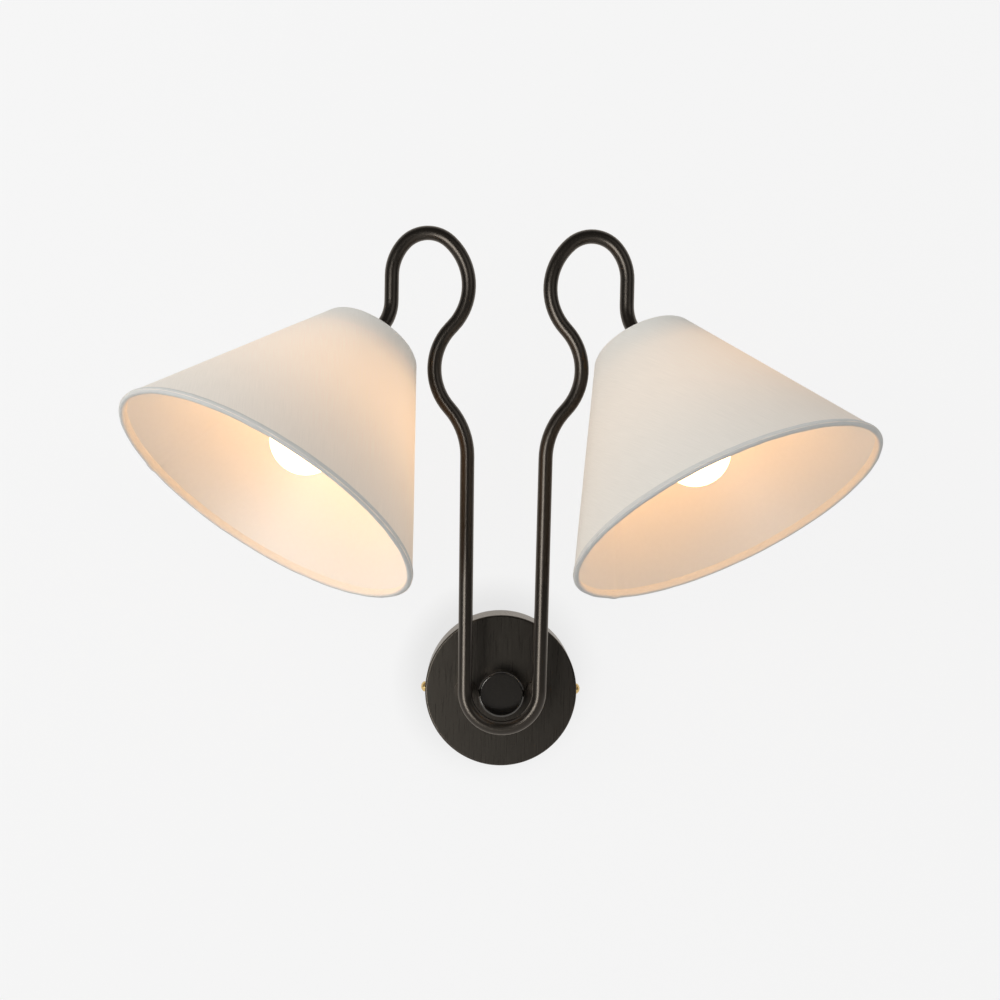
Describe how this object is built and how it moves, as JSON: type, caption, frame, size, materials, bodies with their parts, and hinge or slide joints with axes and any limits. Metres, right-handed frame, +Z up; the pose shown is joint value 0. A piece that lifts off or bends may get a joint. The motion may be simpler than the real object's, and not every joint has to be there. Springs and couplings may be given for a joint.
{
  "type": "wall sconce",
  "caption": "Wall light with two black looped-tube arms on a round canopy, each ending in a tilted fabric cone shade with a globe bulb.",
  "frame": {"origin": "centre of the canopy's back on the wall plane, midway between the wall bracket's two screw slots", "axes": "+Z up, +X to the right as seen from the room, -Y from the wall into the room"},
  "size_m": [0.5701, 0.2688, 0.4418],
  "materials": {
    "black_steel": "satin black powder coat",
    "zinc_steel": "bright zinc plate",
    "brass": "polished",
    "black_knob": "satin black",
    "black_resin": "moulded black",
    "cable_sheath": "smooth",
    "connector_cap": "moulded orange",
    "ceramic_core": "unglazed",
    "shell_metal": "nickelled",
    "bulb_glass": "frosted, lit",
    "bulb_metal": "rolled thread",
    "solder": "solder tip on black insulator",
    "linen": "off-white woven cover",
    "liner": "translucent white backing",
    "hem_tape": "folded tape",
    "frame_wire": "white coated wire",
    "earth_green": "green passivate"
  },
  "bodies": {
    "root": {"wall_bracket": "zinc_steel", "ground_screw": "earth_green", "canopy": "black_steel", "arm_tube": "black_steel", "post_washers": "zinc_steel", "post_nuts": "zinc_steel", "rotary_switch": "black_resin", "switch_nut": "zinc_steel", "wire_connectors": "connector_cap", "left_post": "black_steel", "left_lead": "cable_sheath", "left_lampholder_nipple": "zinc_steel", "left_lampholder_cap": "black_steel", "left_cap_nut": "zinc_steel", "left_lampholder_sleeve": "black_resin", "left_lampholder_core": "ceramic_core", "left_screw_shell": "shell_metal", "left_centre_contact": "brass", "left_shade_ring": "black_resin", "right_post": "black_steel", "right_lead": "cable_sheath", "right_lampholder_nipple": "zinc_steel", "right_lampholder_cap": "black_steel", "right_cap_nut": "zinc_steel", "right_lampholder_sleeve": "black_resin", "right_lampholder_core": "ceramic_core", "right_screw_shell": "shell_metal", "right_centre_contact": "brass", "right_shade_ring": "black_resin"},
    "knob": {"switch_knob": "black_knob", "switch_shaft": "zinc_steel"},
    "left_shade": {"left_shade_fabric": "linen", "left_shade_liner": "liner", "left_shade_top_hem": "hem_tape", "left_shade_bottom_hem": "hem_tape", "left_shade_spider": "frame_wire", "left_shade_bottom_hoop": "frame_wire"},
    "left_bulb_tip": {"left_bulb_contact": "solder"},
    "left_bulb": {"left_bulb_base": "bulb_metal", "left_bulb_globe": "bulb_glass"},
    "left_screw": {"left_side_screw": "brass"},
    "right_shade": {"right_shade_fabric": "linen", "right_shade_liner": "liner", "right_shade_top_hem": "hem_tape", "right_shade_bottom_hem": "hem_tape", "right_shade_spider": "frame_wire", "right_shade_bottom_hoop": "frame_wire"},
    "right_bulb_tip": {"right_bulb_contact": "solder"},
    "right_bulb": {"right_bulb_base": "bulb_metal", "right_bulb_globe": "bulb_glass"},
    "right_screw": {"right_side_screw": "brass"}
  },
  "joints": [
    {"name": "knob_turn", "type": "hinge", "parent": "root", "child": "knob", "pos_m": [0, -0.045, 0], "axis": [0, -1, 0], "range_deg": [0, 270]},
    {"name": "left_shade_turn", "type": "hinge", "parent": "root", "child": "left_shade", "pos_m": [-0.10715, -0.08845, 0.28556], "axis": [-0.4559, -0.4226, -0.7833], "continuous": true},
    {"name": "left_bulb_travel", "type": "slide", "parent": "root", "child": "left_bulb_tip", "axis": [-0.4559, -0.4226, -0.7833], "range_m": [0, 0.01452]},
    {"name": "left_bulb_turn", "type": "hinge", "parent": "left_bulb_tip", "child": "left_bulb", "pos_m": [-0.10715, -0.08845, 0.28556], "axis": [-0.4559, -0.4226, -0.7833], "range_deg": [0, 1440.5]},
    {"name": "left_screw_out", "type": "slide", "parent": "root", "child": "left_screw", "axis": [-1, 0, 0], "range_m": [0, 0.0065]},
    {"name": "right_shade_turn", "type": "hinge", "parent": "root", "child": "right_shade", "pos_m": [0.10426, -0.08794, 0.28648], "axis": [0.373, -0.4226, -0.826], "continuous": true},
    {"name": "right_bulb_travel", "type": "slide", "parent": "root", "child": "right_bulb_tip", "axis": [0.373, -0.4226, -0.826], "range_m": [0, 0.01452]},
    {"name": "right_bulb_turn", "type": "hinge", "parent": "right_bulb_tip", "child": "right_bulb", "pos_m": [0.10426, -0.08794, 0.28648], "axis": [0.373, -0.4226, -0.826], "range_deg": [0, 1440.5]},
    {"name": "right_screw_out", "type": "slide", "parent": "root", "child": "right_screw", "axis": [1, 0, 0], "range_m": [0, 0.0065]}
  ],
  "couplings": [
    {"joint": "left_bulb_turn", "follows": "left_bulb_travel", "rad_per_m": 1730.9},
    {"joint": "right_bulb_turn", "follows": "right_bulb_travel", "rad_per_m": 1730.9}
  ]
}
